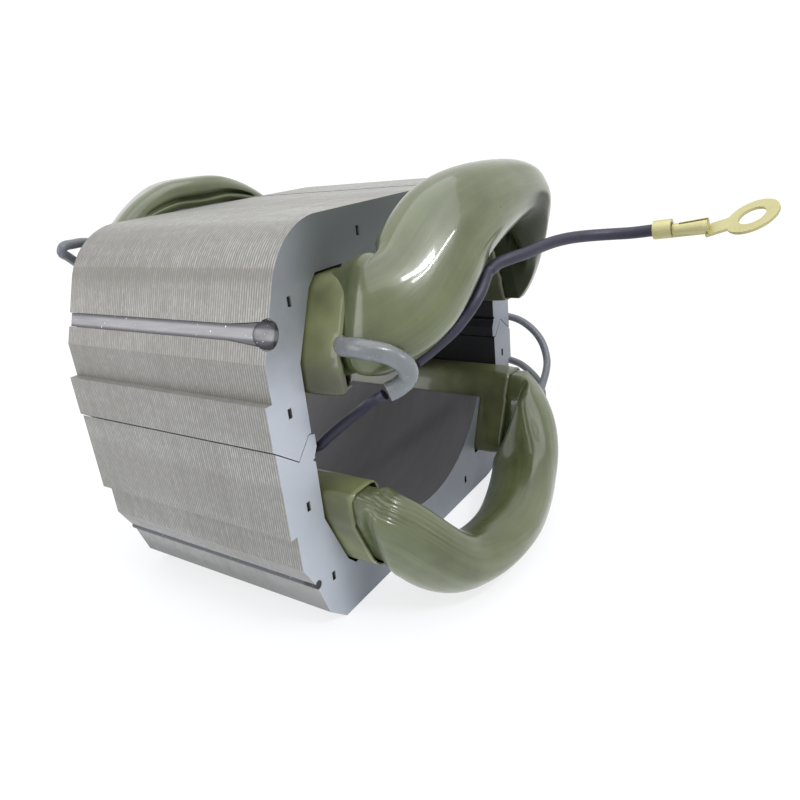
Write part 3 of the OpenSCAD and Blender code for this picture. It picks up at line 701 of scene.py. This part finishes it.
def liner(name, left, lower, reach, material):
    """Film with its front edge moved out by one reach for each corner of the slot."""
    walls = folded(wall_inside(FILM_OUTSIDE), FOLD_OUTSIDE), folded(wall_inside(FILM_INSIDE), FOLD_INSIDE)
    n = len(walls[0])
    corner = np.arange(n) / FOLD_POINTS
    far = np.interp(corner, np.arange(len(reach) + 1), list(reach) + [reach[0]])
    far = far + EDGE_WAVE * np.sin(corner * 7.1 + 3 * left + 5 * lower)
    stops = np.r_[0.0, 0.06, 0.88, np.linspace(0.895, 1, 8)]
    verts = []
    for wall in walls:
        from_middle = wall - wall.mean(0)
        from_middle /= np.linalg.norm(from_middle, axis=1)[:, None]
        for t in stops:
            y = REAR_END - t * (REAR_END + FRONT_END + far)
            share = max(0, (t - LOOSE_FROM) / (1 - LOOSE_FROM)) ** 2
            loose = share * (LOOSE_WAVE * np.sin(corner * 2.3 + left) - LOOSE_IN)
            xz = wall + from_middle * loose[:, None]
            verts.append(np.c_[xz[:, 0], y, xz[:, 1]])
    verts = np.vstack(verts) * ((-1 if left else 1), 1, (-1 if lower else 1))

    wall_size = len(stops) * n
    front = wall_size - n
    faces = []
    for k in range(n):
        j = (k + 1) % n
        for a in range(0, front, n):
            faces.append((a + k, a + j, a + n + j, a + n + k))
            b = wall_size + a
            faces.append((b + j, b + k, b + n + k, b + n + j))
        faces.append((front + k, front + j, front + wall_size + j, front + wall_size + k))
        faces.append((j, k, wall_size + k, wall_size + j))
    if left == lower:
        faces = [f[::-1] for f in faces]
    made = mesh_piece(name, verts, faces, material)
    # Painted shade: a point attribute marks the inner wall, to darken it.
    inner_wall_shade = made.data.attributes.new("inner_wall_shade", "FLOAT", "POINT")
    inner_wall_shade.data.foreach_set("value", np.repeat((0.0, INNER_WALL_SHADE), wall_size).astype(np.float32))
    for poly in made.data.polygons:
        poly.use_smooth = abs(poly.normal.y) < 0.6
    return made


# Leads, along the solids' points; the ends of the bound lead and of the sleeve are a little longer
LEAD_STEPS = 6
LEAD_ROUND = 5
LEAD_D = 2.1
LOOP_D = 1.8
SLEEVE_D = 3
FROM_FRONT = (0, -FRONT_END, 0)
FROM_REAR = (0, REAR_END, 0)
BOUND_ROUTE = [(-24.2, -8, 12), (-22.3, -8.9, 12.8), (-20.4, -9.9, 13.8), (-18.8, -10.9, 14.8),
               (-17.4, -11.9, 16), (-16, -12.7, 17.3), (-14.8, -13.5, 18.7), (-13.4, -14, 20.1),
               (-11.6, -14.1, 21.5), (-9.1, -13.7, 22.9), (-8.1, -14, 23.3)]
RING_ROUTE = [(-8.4, -13.9, 23.2), (-6.2, -14.4, 23.9), (-3.4, -15.7, 24.3), (0, -17, 24.5),
              (4, -17.9, 24.8), (8, -19.1, 25), (11.5, -20.8, 25), (14.6, -23, 24.8), (17, -26, 24.6),
              (18, -29.5, 24.6), (18, -33.5, 25), (18, -36.3, 25.28)]
SLEEVE_ROUTE = [(-32.4, -0.4, 16.8), (-34.2, -2.2, 17.1), (-35.2, -5, 17.5), (-35.2, -7.3, 17.3),
                (-34.2, -9, 16.7), (-33.1, -10.2, 15.7), (-32.5, -11.2, 14.7), (-32, -11.5, 13.5),
                (-31.7, -11, 12.1), (-32.5, -9.8, 11), (-33.6, -8.6, 10.4)]
JUMPER_ROUTE = [(-33.9, -8.2, 10.1), (-34, -7.6, 9.7), (-33.5, -6.3, 9), (-32.5, -4.3, 7.8),
                (-31.6, -1.9, 6), (-31.3, 0.7, 4.1), (-31.7, 3, 2.3), (-32.2, 5.3, 0.4), (-32.6, 7.5, -1.4),
                (-33.2, 11.5, -3), (-33.9, 16.5, -4.3), (-33.9, 22.5, -4.5)]
SIDE_ROUTE = [(34.1, -4.7, -14.5), (37, -4.5, -14), (43, -3.5, -10), (46, -0.5, -5), (46.5, 4.5, -1),
              (46.5, 10.5, 0), (46.5, 15.5, -2), (46.5, 17.5, -5.5), (46.5, 15.5, -9), (46.5, 10.5, -11),
              (46, 4.5, -12.5), (42, -1.5, -15), (37, -4.5, -17), (33.6, -4.7, -17.4)]
REAR_ROUTE = [(-28, 4.6, 26.8), (-30.3, 4.3, 27.9), (-32.2, 3.3, 28.8), (-33.8, 2, 29.8), (-35.6, 0.9, 31),
              (-37, 0, 31.9), (-36.4, -0.2, 33), (-34, 0.6, 33), (-31, 2, 32.8), (-28, 2.8, 32.2),
              (-25.5, 3, 31.3)]


def lead_line(route, start):
    return (smooth_path(route, LEAD_STEPS) + start) * MM


def lead(name, line, diameter, material):
    data = bpy.data.curves.new(name, "CURVE")
    data.dimensions = "3D"
    spline = data.splines.new("POLY")
    spline.points.add(len(line) - 1)
    for point, place in zip(spline.points, line):
        point.co = (*place, 1)
    data.bevel_depth = diameter / 2 * MM
    data.bevel_resolution = LEAD_ROUND
    data.use_fill_caps = True
    data.materials.append(material)
    made = bpy.data.objects.new(name, data)
    scene.collection.objects.link(made)
    return made


# The dressed part
def dress(node, material):
    piece = nodes[node]
    piece.data.materials.clear()
    piece.data.materials.append(material)


def stand_for(made, node):
    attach(made, "root")
    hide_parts(node)


set_camera()
set_stage()
steel = lamination_steel()
weld = weld_metal()
brass = terminal_brass()
olive_varnish = varnished_coil()
film = liner_film()
black = insulation("lead_black", rgb(0.009, 0.008, 0.02), rgb(0.018, 0.017, 0.042), 0.5)
grey = insulation("lead_grey", rgb(0.10, 0.106, 0.118), rgb(0.165, 0.172, 0.185), 0.42)
sleeve_grey = insulation("sleeve_grey", rgb(0.115, 0.123, 0.125), rgb(0.20, 0.212, 0.215), 0.25)

for node in ("core_upper", "core_lower"):
    dress(node, steel)
for node in ("weld_upper_left", "weld_upper_right", "weld_lower_left", "weld_lower_right"):
    dress(node, weld)
dress("ring_terminal", brass)

for node, front, rear, lower in (("coil_upper", upper_front(), upper_rear(), False),
                                 ("coil_lower", lower_front(), lower_rear(), True)):
    stand_for(coil(node + "_wound", front, rear, lower, olive_varnish), node)

for node, left, lower, reach in (
        ("liner_upper_left", 1, 0, (-0.6, -0.4, 0.2, 0.9, 1.6, -1.6, -2.8, -1.4)),
        ("liner_upper_right", 0, 0, (0.1, 0, -0.2, 0, 0.2, 0, 0.1, 0)),
        ("liner_lower_left", 1, 1, (0.1, -0.1, -0.5, -0.7, -0.5, -0.2, 0, 0.2)),
        ("liner_lower_right", 0, 1, (0, 0.2, 0, -0.2, 0, 0.2, 0, 0.1))):
    stand_for(liner(node + "_film", left, lower, reach, film), node)

for node, route, start, diameter, material, slot in (
        ("bound_lead", BOUND_ROUTE, FROM_FRONT, LEAD_D, black, "lead_black"),
        ("jumper_sleeve", SLEEVE_ROUTE, FROM_FRONT, SLEEVE_D, sleeve_grey, "sleeve_grey"),
        ("jumper_lead", JUMPER_ROUTE, FROM_FRONT, LOOP_D, black, "lead_black"),
        ("side_loop_lead", SIDE_ROUTE, FROM_FRONT, LOOP_D, grey, "lead_grey"),
        ("rear_loop_lead", REAR_ROUTE, FROM_REAR, LOOP_D, grey, "lead_grey")):
    stand_for(lead(node + "_wire", lead_line(route, start), diameter, material), node)

free_line = lead_line(RING_ROUTE, FROM_FRONT)
free_lead = lead("ring_lead_wire", free_line, LEAD_D, black)
stand_for(free_lead, "ring_lead")

scene.view_settings.view_transform = "Standard"
